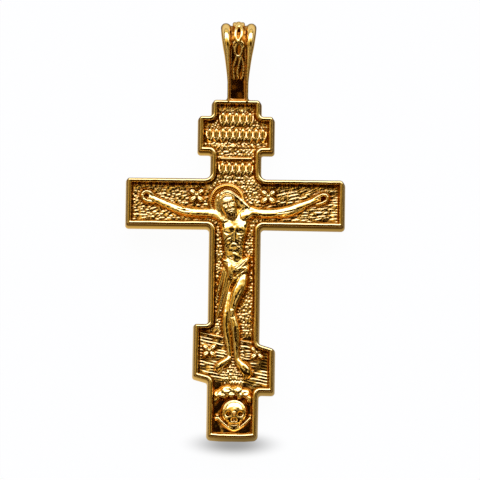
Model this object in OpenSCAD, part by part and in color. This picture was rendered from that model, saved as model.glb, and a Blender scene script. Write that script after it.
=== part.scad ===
// Cast cross pendant with raised relief and a soldered teardrop bail, lying on its back.

/* [Cross] */
// Length of the cross without its bail
cross_l = 42.9; // [42.5:0.1:43.5]
// Width of the main bar
bar_w = 27.5; // [26:0.5:29]
// Width of the upright
upright_w = 6.5; // [6.4:0.1:6.7]
// Thickness over the raised rim
rim_z = 3.0; // [2.8:0.1:3.4]
// Thickness of the sunk field
field_z = 1.9; // [1.6:0.1:2.1]
// Width of the rim
rim_w = 0.85; // [0.7:0.05:1]
// Radius of the outline's corners
corner_r = 0.4; // [0.2:0.05:0.5]

/* [Bail] */
// Height of the bail above the cross
bail_h = 9.66; // [9.4:0.1:10.2]
// Depth of the loop from front to back
bail_depth = 5.9; // [5.6:0.1:6.2]
// Width of the loop at its widest place
bail_w = 4.5; // [4.3:0.1:4.8]
// Width of the loop at its foot
foot_w = 2.55; // [2.4:0.05:2.7]
// Thickness of the side ribs at the top
rib_d = 1.2; // [1:0.05:1.3]
// Sideways offset of the bail
bail_x = 0.12; // [0:0.02:0.2]

/* [Relief] */
// Outer radius of the halo
halo_r = 2.31; // [2.1:0.05:2.4]
// Height of the relief above the field
relief_h = 1.5; // [1.2:0.1:1.7]
// Height of the arms' axis above the field
lift = 0.3; // [0.2:0.05:0.4]
// Pitch of the board lines of the footrest
board_pitch = 0.88; // [0.8:0.02:1]
// Radius of the skull
skull_r = 1.7; // [1.5:0.05:1.8]

/* [Hidden] */
gold = [0.86, 0.62, 0.2];
mid_z = rim_z / 2;

// Outline of the cross, upwards from the foot: half widths and heights
half_up = upright_w / 2;
half_bar = bar_w / 2;
half_title = 4.81;
half_top = 3.1;
half_neck = 3.2;
half_foot = 3.24;
rest_left = -5.07;
rest_right = 5.24;
bar_y = [26.6, 32.9];
title_y = [35.95, 40.8];
rest_left_y = [7.6, 14.65];
rest_right_y = [5.78, 12.1];
rest_drop = 0.45;
halo_at = [-1.04, 29.97];
skull_at = [0.18, 3.5];

// Rest pose: lying on the back of the bail and the lower edge of the foot
rib_r = rib_d / 2;
loop_r = bail_depth / 2 - rib_r;
loop_y = cross_l + bail_h - bail_depth / 2;
tilt = asin((bail_depth / 2 - mid_z) / loop_y);
rest_mid_y = (cross_l + bail_h) / 2 + 0.05;

// Band of the bail: round top, half depth at its foot, foot's height, half width
band_r = loop_r + 0.35;
band_foot = mid_z - 0.15;
foot_low = cross_l - 0.3;
band_half = 1.1;

function outline() = [
    [-half_foot, 0], [half_foot, 0],
    [half_foot, rest_right_y[0]], [rest_right, rest_right_y[0]],
    [rest_right, rest_right_y[1] - rest_drop], [half_up, rest_right_y[1] + 0.1],
    [half_up, bar_y[0]], [half_bar, bar_y[0]], [half_bar, bar_y[1]],
    [half_neck, bar_y[1]], [half_neck, title_y[0]],
    [half_title, title_y[0]], [half_title, title_y[1]],
    [half_top, title_y[1]], [half_top, cross_l],
    [-half_top, cross_l], [-half_top, title_y[1]],
    [-half_title, title_y[1]], [-half_title, title_y[0]],
    [-half_neck, title_y[0]], [-half_neck, bar_y[1]],
    [-half_bar, bar_y[1]], [-half_bar, bar_y[0]],
    [-half_up, bar_y[0]], [-half_up, rest_left_y[1]],
    [rest_left, rest_left_y[1]], [rest_left, rest_left_y[0] + 0.15],
    [-half_foot, rest_left_y[0] - rest_drop + 0.1]
];

// Outline with its corners rounded, moved inwards by inset
module plate_shape(inset) {
    offset(r = -corner_r, $fn = 24)
        offset(r = 2 * corner_r, $fn = 24)
        offset(delta = -corner_r - inset)
        polygon(outline());
}

// Plate with a raised rim round a sunk field, its upper and back edges broken
module plate() {
    edge_z = 0.35;
    edge_in = 0.2;
    back_edge = 0.2;
    overlap = 0.01;
    difference() {
        union() {
            linear_extrude(back_edge + overlap) offset(delta = -back_edge) polygon(outline());
            translate([0, 0, back_edge]) linear_extrude(rim_z - edge_z - back_edge) plate_shape(0);
            translate([0, 0, rim_z - edge_z - overlap])
                linear_extrude(edge_z + overlap) plate_shape(edge_in);
        }
        translate([0, 0, field_z]) linear_extrude(rim_z) plate_shape(rim_w);
    }
}

// Round form from a to b, with heights counted from the field and radii spread evenly along it,
// flattened in depth by flat about its own axis. Its facets are turned by an angle that follows
// from its place, so that those of two neighbours never line up.
module limb(a, b, radii, flat = 1, sides = 12) {
    d = b - a;
    n = len(radii) - 1;
    len_ab = norm(d);
    translate([a.x, a.y, a.z + field_z])
        scale([1, 1, flat])
        rotate([0, acos(d.z / len_ab), atan2(d.y, d.x)])
        rotate([0, 0, 97 * a.x + 61 * b.y])
        rotate_extrude($fn = sides)
        polygon(concat(
            [[0, -0.6 * radii[0]], [0.7 * radii[0], -0.4 * radii[0]]],
            [for (i = [0 : n]) [radii[i], len_ab * i / n]],
            [[0.7 * radii[n], len_ab + 0.4 * radii[n]], [0, len_ab + 0.6 * radii[n]]]
        ));
}

// Chain of limbs through points, each row being a place and a radius: [x, y, z, r]
module limb_chain(rows, sides = 12) {
    for (i = [0 : len(rows) - 2]) {
        from = rows[i];
        to = rows[i + 1];
        limb([from[0], from[1], from[2]], [to[0], to[1], to[2]],
            [0.97 * from[3], (from[3] + to[3]) / 2 * 1.06, to[3]], 1, sides);
    }
}

module halo() {
    translate([halo_at.x, halo_at.y, field_z - 0.1]) {
        cylinder(h = 0.22, r = halo_r - 0.1, $fn = 40);
        rotate_extrude($fn = 40)
            translate([halo_r - 0.16, 0.18])
            circle(r = 0.16, $fn = 10);
    }
}

// Bowed head with long hair and a short beard, its face plain
module head() {
    limb([-1.2, 30.4, 0.45], [-0.7, 28.9, 0.6], [0.85, 1.0, 0.92, 0.62]);
    limb([-0.65, 28.7, 0.7], [-0.35, 27.9, 0.65], [0.56, 0.46, 0.2]);
    limb([-0.95, 29.6, 1.3], [-0.8, 29.1, 1.45], [0.12, 0.2], 1, 8);
    limb([-1.75, 30.6, 0.3], [-0.7, 31.0, 0.35], [0.5, 0.62, 0.4]);
    limb_chain([[-1.95, 30.7, 0.35, 0.5], [-2.3, 29.5, 0.35, 0.46], [-2.05, 28.2, 0.3, 0.26]]);
    limb_chain([[-0.35, 30.8, 0.35, 0.42], [0.2, 30.0, 0.3, 0.32], [0.3, 29.0, 0.3, 0.2]]);
    limb([-0.9, 28.6, 0.1], [-0.3, 27.6, 0.1], [0.6, 0.6]);
}

// Outstretched arms with half-open hands
module arms() {
    limb_chain([[-1.4, 27.9, lift, 0.7], [-2.9, 28.55, lift, 0.5], [-5.65, 28.66, lift, 0.46],
        [-8.4, 29.44, lift, 0.4], [-10.8, 30.5, lift, 0.34]], 10);
    limb([-11.0, 30.5, lift], [-11.65, 30.55, lift], [0.45, 0.34], 1, 8);
    limb([-10.9, 30.6, lift], [-11.15, 31.0, lift], [0.2, 0.16], 1, 8);
    limb_chain([[1.35, 28.2, lift, 0.7], [2.6, 28.65, lift, 0.54], [5.6, 28.7, lift, 0.48],
        [8.1, 29.5, lift, 0.38], [10.45, 30.7, lift, 0.26]], 10);
    limb([10.75, 30.5, lift], [11.35, 30.4, lift], [0.46, 0.36], 1, 8);
}

// Lean chest and belly, drawn in at the waist
module torso() {
    limb([-1.2, 27.45, 0.0], [1.25, 27.65, 0.0], [0.75, 0.95, 0.75]);
    limb([0.05, 27.3, -0.1], [-0.1, 21.9, -0.1], [1.2, 1.62, 1.5, 1.28, 1.1, 1.12, 1.15], 0.72, 18);
    limb([-0.95, 27.0, 0.5], [-0.25, 26.55, 0.55], [0.42, 0.5, 0.4]);
    limb([0.35, 26.6, 0.55], [1.1, 27.1, 0.5], [0.4, 0.5, 0.42]);
    limb([-0.15, 24.2, 0.1], [-0.1, 22.9, 0.1], [0.5, 0.66, 0.5]);
}

// Cloth round the hips, tied at one side and falling in folds
module loincloth() {
    limb([-0.85, 21.85, 0.05], [1.35, 21.6, 0.1], [0.6, 0.85, 0.85, 0.65]);
    limb([-0.95, 22.35, 0.3], [1.2, 22.35, 0.35], [0.24, 0.34, 0.3]);
    limb([1.1, 22.6, 0.35], [1.65, 22.2, 0.3], [0.36, 0.3]);
    limb_chain([[-0.5, 21.9, 0.45, 0.3], [-0.1, 20.8, 0.6, 0.4], [-0.25, 19.6, 0.4, 0.24]]);
    limb_chain([[-1.0, 21.2, 0.15, 0.4], [-1.35, 19.4, 0.2, 0.34], [-2.15, 17.0, 0.1, 0.18]]);
    limb_chain([[-0.4, 20.0, 0.3, 0.3], [-1.25, 17.6, 0.2, 0.3], [-2.05, 15.1, 0.1, 0.16]]);
}

module legs() {
    limb_chain([[0.95, 21.0, 0.15, 0.8], [0.75, 19.1, 0.3, 0.84], [0.0, 17.3, 0.35, 0.62],
        [-0.2, 15.7, 0.38, 0.5], [0.18, 14.1, 0.3, 0.6], [0.4, 11.8, 0.25, 0.46],
        [0.5, 10.2, 0.25, 0.34]]);
    limb_chain([[-0.6, 18.0, 0.1, 0.46], [-0.95, 14.9, 0.28, 0.5], [-0.55, 11.5, 0.25, 0.36],
        [-0.5, 10.4, 0.25, 0.3]]);
    limb([-0.6, 10.2, 0.25], [-2.0, 9.05, 0.2], [0.34, 0.46, 0.36]);
    limb([0.5, 9.9, 0.25], [1.7, 8.6, 0.15], [0.38, 0.6, 0.55]);
}

// Sloping boards of the footrest, the upper edge of the first one proud
module boards() {
    slope = -12;
    board_w = 0.5;
    first_y = 12.2;
    count = 7;
    intersection() {
        translate([0, 0, field_z - 0.5]) linear_extrude(1) plate_shape(rim_w + 0.1);
        for (i = [0 : count - 1])
            translate([0, first_y - board_pitch * i, field_z - 0.1])
                rotate([0, 0, slope])
                cube([12, board_w, i == 0 ? 0.7 : 0.4], center = true);
    }
}

// Rocks over the cave, with the skull and crossed bones below them
module rocks_and_skull() {
    limb_chain([[-2.0, 5.5, 0.0, 0.3], [-0.85, 6.3, 0.1, 0.46], [0.2, 6.4, 0.1, 0.46],
        [1.8, 5.7, 0.0, 0.34]]);
    difference() {
        union() {
            translate([skull_at.x, skull_at.y, field_z - 0.45])
                sphere(r = skull_r, $fn = 28);
            limb([skull_at.x, skull_at.y - 0.7, 0.15], [skull_at.x, skull_at.y - 1.7, 0.1],
                [0.95, 0.8, 0.6]);
        }
        for (side = [-1, 1])
            translate([skull_at.x + 0.52 * side, skull_at.y - 0.35, field_z + 1.2])
                sphere(r = 0.36, $fn = 12);
        translate([skull_at.x, skull_at.y - 1.0, field_z + 1.15])
            sphere(r = 0.2, $fn = 8);
    }
    for (side = [-1, 1])
        limb([skull_at.x + side * 0.9, 2.0, 0.05], [skull_at.x + side * 2.1, 3.1, 0.05],
            [0.2, 0.2, 0.34], 1, 8);
}

// Upright leaves in a row, an ornament in the place of the lettering
module leaf_row(count, pitch, y, tall) {
    for (i = [0 : count - 1]) {
        x = (i - (count - 1) / 2) * pitch;
        limb([x, y - tall / 2, 0.1], [x, y + tall / 2, 0.14], [0.12, 0.26, 0.3], 1, 6);
    }
}

// Four petals round a middle
module floret(x, y, size) {
    for (turn = [45 : 90 : 315])
        limb([x + 0.4 * size * cos(turn), y + 0.4 * size * sin(turn), 0],
            [x + size * cos(turn), y + size * sin(turn), 0.05],
            [0.1, 0.3 * size, 0.1], 1, 6);
}

module ornament() {
    leaf_row(5, 0.84, 40.45, 1.6);
    leaf_row(9, 0.83, 38.45, 1.45);
    leaf_row(5, 0.84, 34.15, 1.4);
    limb([-1.7, 35.35, 0.1], [1.8, 35.35, 0.1], [0.2, 0.21], 1, 8);
    floret(-4.85, 30.7, 0.92);
    floret(4.05, 30.65, 0.92);
    floret(-2.95, 11.2, 0.8);
    floret(2.95, 11.0, 0.8);
}

// Teardrop in the plane of depth (x) and height (y): a round top of radius r drawn to the foot
function teardrop(r, half_depth, y_low) =
    let (
        drop = loop_y - y_low,
        reach = norm([half_depth, drop]),
        a = atan2(half_depth, drop) + acos(r / reach),
        steps = 36
    )
    concat(
        [for (i = [0 : steps])
            let (t = -90 + a + i * (360 - 2 * a) / steps)
            [r * cos(t), loop_y + r * sin(t)]],
        [[-half_depth, y_low], [half_depth, y_low]]
    );

// Round rib that follows the loop, thick at the top and thin at the foot
module rib() {
    foot_r = 0.2;
    foot_y = cross_l - 0.7;
    foot_depth = mid_z - foot_r;
    drop = loop_y - foot_y;
    reach = norm([foot_depth, drop]);
    a = atan2(foot_depth, drop) + acos(loop_r / reach);
    leg_l = sqrt(reach * reach - loop_r * loop_r);
    translate([0, loop_y, mid_z]) {
        rotate([0, -90, 0])
            rotate([0, 0, a - 90])
            rotate_extrude(angle = 360 - 2 * a, $fn = 48)
            translate([loop_r, 0])
            circle(r = rib_r, $fn = 24);
        for (side = [-1, 1])
            translate([0, -loop_r * cos(a), side * loop_r * sin(a)])
                rotate([side > 0 ? 180 - a : a, 0, 0])
                cylinder(h = leg_l, r1 = rib_r, r2 = foot_r, $fn = 24);
    }
}

// Ribbed loop with a sunk band and a plait of rings on its front
module bail() {
    rib_top = bail_w / 2 - rib_r;
    rib_foot = foot_w / 2 - 0.2;
    lean = atan2(rib_top - rib_foot, loop_y + 1 - cross_l);
    wall = 0.8;
    hole_foot = 1.4;
    translate([bail_x, 0, 0]) {
        for (side = [-1, 1])
            translate([side * rib_foot, cross_l, 0])
                rotate([0, 0, -side * lean])
                translate([0, -cross_l, 0])
                rib();
        translate([band_half, 0, mid_z])
            rotate([0, -90, 0])
            linear_extrude(2 * band_half)
            difference() {
                polygon(teardrop(band_r, band_foot, foot_low));
                polygon(teardrop(band_r - wall, 0.1, cross_l + hole_foot));
            }
        plait();
    }
}

// Depth of the band's front face on the loop's straight leg
function band_front(y) = mid_z + band_foot
    + (y - foot_low) * (band_r - band_foot) / (loop_y - foot_low);

// Two rings, a bead and three strands that stand out of the band
module plait() {
    ring_rows = [[51.1, 3.95, 24], [48.95, 4.15, -4]];
    strand_rows = [[-0.15, 48.3, -0.65, 46.6], [0.15, 48.3, 0.05, 46.4], [0.5, 48.1, 0.6, 46.1]];
    for (row = ring_rows)
        translate([0, row[0], row[1]])
            rotate([-row[2], 0, 0])
            rotate_extrude($fn = 32)
            translate([0.52, 0])
            circle(r = 0.26, $fn = 16);
    translate([0, 52.3, 2.8]) sphere(r = 0.55, $fn = 24);
    for (row = strand_rows)
        limb([row[0], row[1], band_front(row[1]) - field_z + 0.04],
            [row[2], row[3], band_front(row[3]) - field_z + 0.04],
            [0.13, 0.2, 0.2, 0.13], 1, 16);
}

// All that is raised on the field, down to a little below its surface
module relief() {
    root_z = 0.15;
    translate([0, 0, field_z - root_z])
        resize([0, 0, relief_h + root_z])
        intersection() {
            translate([0, cross_l / 2, 10]) cube([bar_w, cross_l, 20], center = true);
            translate([0, 0, root_z - field_z]) {
                halo();
                head();
                arms();
                torso();
                loincloth();
                legs();
                boards();
                rocks_and_skull();
                ornament();
            }
        }
}

module cross_pendant() {
    color(gold)
        translate([0, -rest_mid_y, 0])
        rotate([tilt, 0, 0]) {
            plate();
            bail();
            relief();
        }
}

cross_pendant();
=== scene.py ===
import math

import bpy
import numpy as np
from mathutils import Matrix, Vector
from mathutils.geometry import delaunay_2d_cdt


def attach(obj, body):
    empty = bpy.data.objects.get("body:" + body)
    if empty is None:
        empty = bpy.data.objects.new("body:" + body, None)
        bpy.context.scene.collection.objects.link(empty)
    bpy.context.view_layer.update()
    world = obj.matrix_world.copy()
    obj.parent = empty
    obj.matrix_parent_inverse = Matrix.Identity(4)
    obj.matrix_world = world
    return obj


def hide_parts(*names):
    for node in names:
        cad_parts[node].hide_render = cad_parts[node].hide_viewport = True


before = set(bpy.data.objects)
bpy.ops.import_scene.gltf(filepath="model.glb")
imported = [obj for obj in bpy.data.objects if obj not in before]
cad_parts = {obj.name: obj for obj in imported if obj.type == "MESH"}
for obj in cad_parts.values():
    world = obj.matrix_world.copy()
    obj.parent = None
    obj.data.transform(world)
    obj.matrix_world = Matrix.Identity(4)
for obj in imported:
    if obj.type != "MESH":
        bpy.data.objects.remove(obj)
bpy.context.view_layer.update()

rest = {"tilt": 1.674878, "midY": 26.33, "metre": 0.001}  # lying on its back: degrees, mm, metres per mm


def restMatrix():  # from the cross's own mm to metres as it lies
    turn = Matrix.Rotation(math.radians(rest["tilt"]), 4, "X")
    return Matrix.Scale(rest["metre"], 4) @ Matrix.Translation((0, -rest["midY"], 0)) @ turn


def addPiece(name, points, faces, material, paintedShade):  # the last argument: how much painted shade each point gets, 0 to 1
    m = np.array(restMatrix())
    mesh = bpy.data.meshes.new(name)
    mesh.from_pydata((points @ m[:3, :3].T + m[:3, 3]).tolist(), [], faces)
    mesh.polygons.foreach_set("use_smooth", [True] * len(mesh.polygons))
    # the painted shade goes to the material as the point attribute hollow
    layer = mesh.attributes.new("hollow", "FLOAT", "POINT")
    layer.data.foreach_set("value", paintedShade.astype(np.float32))
    mesh.materials.append(material)
    mesh.update()
    piece = bpy.data.objects.new(name, mesh)
    bpy.context.scene.collection.objects.link(piece)
    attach(piece, "root")
    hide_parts("cross_pendant")
    print("piece", name, len(mesh.vertices), "points", len(faces), "faces")


# Steps, waves and distances

def smoothMax(a, b, soft):
    lap = np.maximum(soft - np.abs(a - b), 0)
    return np.maximum(a, b) + lap * lap / (4 * soft)


def smoothMin(a, b, soft):
    return -smoothMax(-a, -b, soft)


def ramp(v, low, high):  # 0 below low, 1 above high, smooth between
    t = np.clip((v - low) / (high - low), 0, 1)
    return t * t * (3 - 2 * t)


def window(v, a, b, c, d):  # 0 up to a, 1 from b to c, 0 again from d on
    return ramp(v, a, b) * ramp(-v, -d, -c)


def noise(x, y, size, seed):  # soft random waves, -1 to 1
    count, start = 64, 100
    grid = np.random.default_rng(seed).uniform(-1, 1, (count, count))
    u, v = x / size + start, y / size + start
    i, j = np.floor(u).astype(int), np.floor(v).astype(int)
    s, t = ramp(u - i, 0, 1), ramp(v - j, 0, 1)
    at = lambda a, b: grid[(i + a) % count, (j + b) % count]
    return (at(0, 0) * (1 - s) + at(1, 0) * s) * (1 - t) + (at(0, 1) * (1 - s) + at(1, 1) * s) * t


def waves(x, y, rows):  # waves added up, from rows of amount, size, seed
    return sum(amount * noise(x, y, size, seed) for amount, size, seed in rows)


def smoothRows(rows, parts=6):  # more rows on a smooth line through the given ones
    p = np.array(rows, float)
    if len(p) < 3:
        return p
    p = np.vstack([2 * p[0] - p[1], p, 2 * p[-1] - p[-2]])
    out = []
    for i in range(1, len(p) - 2):
        a, b, c, d = p[i - 1:i + 3]
        for t in np.arange(parts) / parts:
            out.append((2 * b + (c - a) * t + (2 * a - 5 * b + 4 * c - d) * t ** 2
                        + (3 * b - a - 3 * c + d) * t ** 3) / 2)
    out.append(p[-2])
    return np.array(out)


def along(x, y, a, b):  # how far on from a to b each point lies, 0 to 1, and its distance from that line
    d = b[:2] - a[:2]
    t = np.clip(((x - a[0]) * d[0] + (y - a[1]) * d[1]) / max(d @ d, 1e-9), 0, 1)
    return t, np.hypot(x - a[0] - t * d[0], y - a[1] - t * d[1])


def spaced(count, pitch):  # places in a row round 0
    return [(i - (count - 1) / 2) * pitch for i in range(count)]


def heading(degrees, size=1):  # a step of this size in a direction: its two parts
    a = math.radians(degrees)
    return size * math.cos(a), size * math.sin(a)


def oval(land, x, y, rx, ry, turn):  # 0 in the middle of an oval turned by degrees, 1 on its edge
    c, s = heading(turn)
    dx, dy = land["x"] - x, land["y"] - y
    return ((dx * c + dy * s) / rx) ** 2 + ((dy * c - dx * s) / ry) ** 2


# Cross: outline corners with x, y and the radius of the corner, counterclockwise from the foot's left

cross = {
    "corners": [
        [-3.24, 0.12, 0.55], [-1.5, 0.0, 4], [1.5, 0.0, 4], [3.2, 0.12, 0.65],
        [3.24, 5.78, 0.34], [5.24, 5.76, 0.45], [5.24, 11.6, 0.6], [3.25, 12.2, 0.32],
        [3.25, 26.6, 0.42], [13.75, 26.55, 0.5], [13.75, 32.92, 0.75], [3.2, 32.9, 0.75],
        [3.2, 35.95, 0.26], [4.83, 35.95, 0.42], [4.83, 40.82, 0.6], [3.16, 40.82, 0.34],
        [3.16, 42.9, 0.65], [-3.16, 42.9, 0.65], [-3.16, 40.82, 0.34], [-4.85, 40.82, 0.55],
        [-4.85, 35.95, 0.42], [-3.2, 35.95, 0.26], [-3.2, 32.95, 0.75], [-13.75, 32.92, 0.5],
        [-13.75, 26.58, 0.42], [-3.25, 26.6, 0.42], [-3.25, 14.65, 0.32], [-5.07, 14.65, 0.42],
        [-5.1, 7.75, 0.42], [-3.24, 7.25, 0.34]],
    "profile": [  # distance in from the outline, and height, over the wall and the rim
        [0.1, 0.0], [0.03, 0.02], [0.0, 0.1], [0.0, 0.35], [0.05, 0.9], [0.1, 1.5], [0.16, 2.1],
        [0.19, 2.45], [0.21, 2.68], [0.24, 2.81], [0.28, 2.88], [0.34, 2.935], [0.4, 2.975],
        [0.46, 2.995], [0.5, 3.0], [0.55, 2.988], [0.61, 2.962], [0.67, 2.926], [0.715, 2.86],
        [0.74, 2.7], [0.76, 2.46], [0.785, 2.2], [0.82, 2.04], [0.86, 1.95], [0.9, 1.915], [0.95, 1.9]],
    "ringStep": 0.13, "arcPoints": 9,
    "innerCorner": 0.8,  # how much a corner that turns in grows with the distance from the outline
    "field": 1.9,
    "gridStep": 0.07, "gridX": [-13.0, 13.0], "gridY": [0.9, 42.1], "gridGap": 0.042,
    "wave": 0.02, "waves": [[1, 1.1, 31], [0.6, 0.35, 32]],  # how hand finishing moved the rim's edges
    "handwork": [[0.016, 0.34, 61], [0.01, 0.19, 62]], "handworkFrom": [0.3, 0.5],  # on all raised forms
    "dip": 0.012, "dipSize": 1.7,
}


def ring(inset):  # the outline moved in, always with the same count of points
    corners = np.array(cross["corners"], float)
    turns = []
    for last, corner, following in zip(np.roll(corners, 1, 0), corners, np.roll(corners, -1, 0)):
        here = corner[:2]
        u, v = here - last[:2], following[:2] - here
        u, v = u / np.hypot(*u), v / np.hypot(*v)
        nu, nv = np.array([-u[1], u[0]]), np.array([-v[1], v[0]])
        angle = math.atan2(u[0] * v[1] - u[1] * v[0], u @ v)
        side = 1 if angle > 0 else -1
        radius = max(corner[2] - inset if side > 0 else corner[2] + cross["innerCorner"] * inset, 0)
        start = here + (nu + nv) * inset / (1 + nu @ nv) - u * radius * math.tan(abs(angle) / 2)
        centre = start + side * nu * radius
        arm = -side * nu * radius
        arc = []
        for a in angle * np.arange(cross["arcPoints"]) / (cross["arcPoints"] - 1):
            arc.append(centre + np.array([arm[0] * math.cos(a) - arm[1] * math.sin(a),
                                          arm[0] * math.sin(a) + arm[1] * math.cos(a)]))
        turns.append(arc)
    out = []
    for i, arc in enumerate(turns):
        following = (i + 1) % len(turns)
        span = np.hypot(*(corners[following, :2] - corners[i, :2]))
        parts = max(2, round(span / cross["ringStep"]))
        a, b = arc[-1], turns[following][0]
        out += arc + [a + (b - a) * k / parts for k in range(1, parts)]
    return np.array(out)


def insideRing(x, y, loop):
    inside = np.zeros(len(x), bool)
    for a, b in zip(loop, np.roll(loop, -1, 0)):
        if a[1] == b[1]:
            continue
        hit = (a[1] > y) != (b[1] > y)
        inside ^= hit & (x < (b[0] - a[0]) * (y - a[1]) / (b[1] - a[1]) + a[0])
    return inside


def ringDistance(x, y, loop):
    best = np.full(len(x), 99.0)
    for a, b in zip(loop, np.roll(loop, -1, 0)):
        best = np.minimum(best, along(x, y, a, b)[1])
    return best


# Ways to shape the land, which holds x, y and height z of every point of the field

styles = {  # of round forms: height, soft join, slope of the sides, squareness, lean up towards the foot
    "plain": [1.0, 0.03, 2.8, 2.0, 0.0],
    "soft": [1.0, 0.04, 2.8, 2.0, 0.0],
    "crisp": [1.0, 0.02, 2.8, 2.0, 0.0],
    "arm": [0.6, 0.03, 4.0, 2.4, 0.3],
    "tendon": [0.8, 0.02, 3.0, 2.0, 0.3],
    "wrist": [0.7, 0.03, 2.8, 2.0, 0.0],
    "finger": [1.0, 0.03, 2.8, 2.0, 0.2],
    "torso": [0.36, 0.04, 3.0, 2.6, 0.0],
    "hip": [0.9, 0.05, 3.0, 2.3, 0.0],
    "leg": [0.95, 0.03, 4.0, 2.0, 0.1],
    "instep": [0.8, 0.04, 2.8, 2.0, 0.0],
    "neck": [0.8, 0.07, 2.8, 2.0, 0.0],
    "rocks": [0.8, 0.06, 3.0, 2.4, 0.3],
    "jaw": [0.75, 0.07, 2.8, 2.0, 0.0],
    "leaf": [0.8, 0.02, 4.0, 2.4, 0.0],
    "stem": [1.0, 0.02, 4.0, 2.0, 0.2],
    "roll": [1.2, 0.03, 2.8, 2.0, 0.0],
    "petal": [0.8, 0.02, 3.0, 2.4, 0.25],
}
thinnest = 0.02


def near(land, rows, reach):  # numbers of the points round the rows
    x, y = land["x"], land["y"]
    lo, hi = rows[:, :2].min(0) - reach, rows[:, :2].max(0) + reach
    return np.where((x > lo[0]) & (x < hi[0]) & (y > lo[1]) & (y < hi[1]))[0]


def limb(land, rows, style="plain"):  # a round form along rows of x, y, axis height over the field, radius
    high, soft, steep, power, lean = styles[style]
    rows = smoothRows(rows)
    at = near(land, rows, rows[:, 3].max() + 0.5)
    x, y = land["x"][at], land["y"][at]
    best = np.full(len(at), -9.0)
    for a, b in zip(rows[:-1], rows[1:]):
        t, away = along(x, y, a, b)
        r = np.maximum(a[3] + (b[3] - a[3]) * t, thinnest)
        q = np.minimum(away / r, 1)
        top = a[2] + (b[2] - a[2]) * t + high * r * (1 - q ** power) ** (1 / power)
        top -= steep * np.maximum(away - r, 0) + lean * (y - a[1] - t * (b[1] - a[1]))
        best = np.maximum(best, top)
    land["z"][at] = smoothMax(land["z"][at], best + cross["field"], soft)


def trace(land, rows, amount):  # a raised or sunk line along rows of x, y, half width
    rows = smoothRows(rows)
    widest = rows[:, 2].max()
    at = near(land, rows, widest)
    best = np.zeros(len(at))
    for a, b in zip(rows[:-1], rows[1:]):
        t, away = along(land["x"][at], land["y"][at], a, b)
        r = np.maximum(a[2] + (b[2] - a[2]) * t, thinnest)
        best = np.maximum(best, (1 - np.minimum(away / r, 1) ** 2) ** 2 * r / widest)
    land["z"][at] += amount * best


def dab(land, x, y, rx, ry, turn, amount):  # a soft round hill or hollow
    land["z"] += amount * (1 - np.minimum(oval(land, x, y, rx, ry, turn), 1)) ** 2


def dome(land, x, y, rx, ry, turn, base, height, soft=0.05, lean=0.0):  # half an egg that stands on base
    q = np.sqrt(oval(land, x, y, rx, ry, turn))
    top = base + height * np.sqrt(np.maximum(1 - q * q, 0)) - 3 * min(rx, ry) * np.maximum(q - 1, 0)
    top -= lean * (land["y"] - y)
    land["z"] = smoothMax(land["z"], top + cross["field"], soft)


def shape(land, part):  # forms with their heights over the part's lift, then drawn lines, hills and hollows
    for style, *forms in part["forms"]:
        for rows in forms:
            limb(land, [[x, y, z + part["lift"], r] for x, y, z, r in rows], style)
    for amount, *lines in part["lines"]:
        for rows in lines:
            trace(land, rows, amount)
    for row in part["dabs"]:
        dab(land, *row)


# Field: pebbled on the upright, wavy lines on the bar, boards on the footrest, smooth in the cave

field = {
    "pebble": 0.34, "pebbleHeight": 0.15, "pebbleSize": 0.24,
    "speck": 0.21, "speckHeight": 0.05, "speckSize": 0.13,
    "dash": 0.31, "dashHeight": 0.13, "dashSize": 0.21,
    "dashRuns": [[0.03, 0.55, 3], [0.3, 0.2, 5], [0.07, 0.22, 8]],  # rise, narrowing, seed
    "warp": [[0.07, 0.9, 3], [0.16, 2.6, 4]], "armLine": [28.5, 5.4, 0.33], "aboveArm": [-0.2, 0.6],
    "boardPitch": 0.38, "boardHeight": 0.1, "boardSlope": -0.2, "boardLift": 0.06, "boardEdge": 0.24,
    "boards": [6.9, 7.3, 12.6, 12.75],
    "boardEdges": [[[-4.1, 13.45, 0.16], [-2.6, 13.1, 0.24], [-1.1, 12.75, 0.14]],
                   [[0.8, 12.45, 0.12], [2.2, 12.25, 0.18], [3.2, 12.0, 0.14]]],
    "barX": [2.9, 4.2], "barY": [26.5, 26.7, 33.0, 33.2],
    "restX": [1.0, 1.6], "restY": [5.6, 6.4, 12.7, 13.4],
    "restLeftX": [2.2, 2.6], "restLeftY": [7.4, 7.8, 13.4, 14.0], "caveTop": [-5.8, -5.2],
    "uneven": 0.05, "seed": 11,
}


def pebbles(x, y, pitch, size, seed):  # 0 between the pebbles, 1 on their tops
    count = 97
    jitter = np.random.default_rng(seed).uniform(-0.42, 0.42, (count, count, 2))
    tall = np.random.default_rng(seed + 1).uniform(0.5, 1, (count, count))
    x = x + 0.25 * pitch * noise(x, y, 3 * pitch, seed + 2)
    i, j = np.floor(x / pitch).astype(int), np.floor(y / pitch).astype(int)
    best = np.zeros(len(x))
    for ci, cj in ((i + a, j + b) for a in (-1, 0, 1) for b in (-1, 0, 1)):
        at = ci % count, cj % count
        cx = (ci + 0.5 + 0.5 * (cj % 2) + jitter[at][:, 0]) * pitch
        cy = (cj + 0.5 + jitter[at][:, 1]) * pitch
        best = np.maximum(best, (1 - np.minimum(np.hypot(x - cx, y - cy) / size, 1)) * tall[at])
    return best


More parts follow.
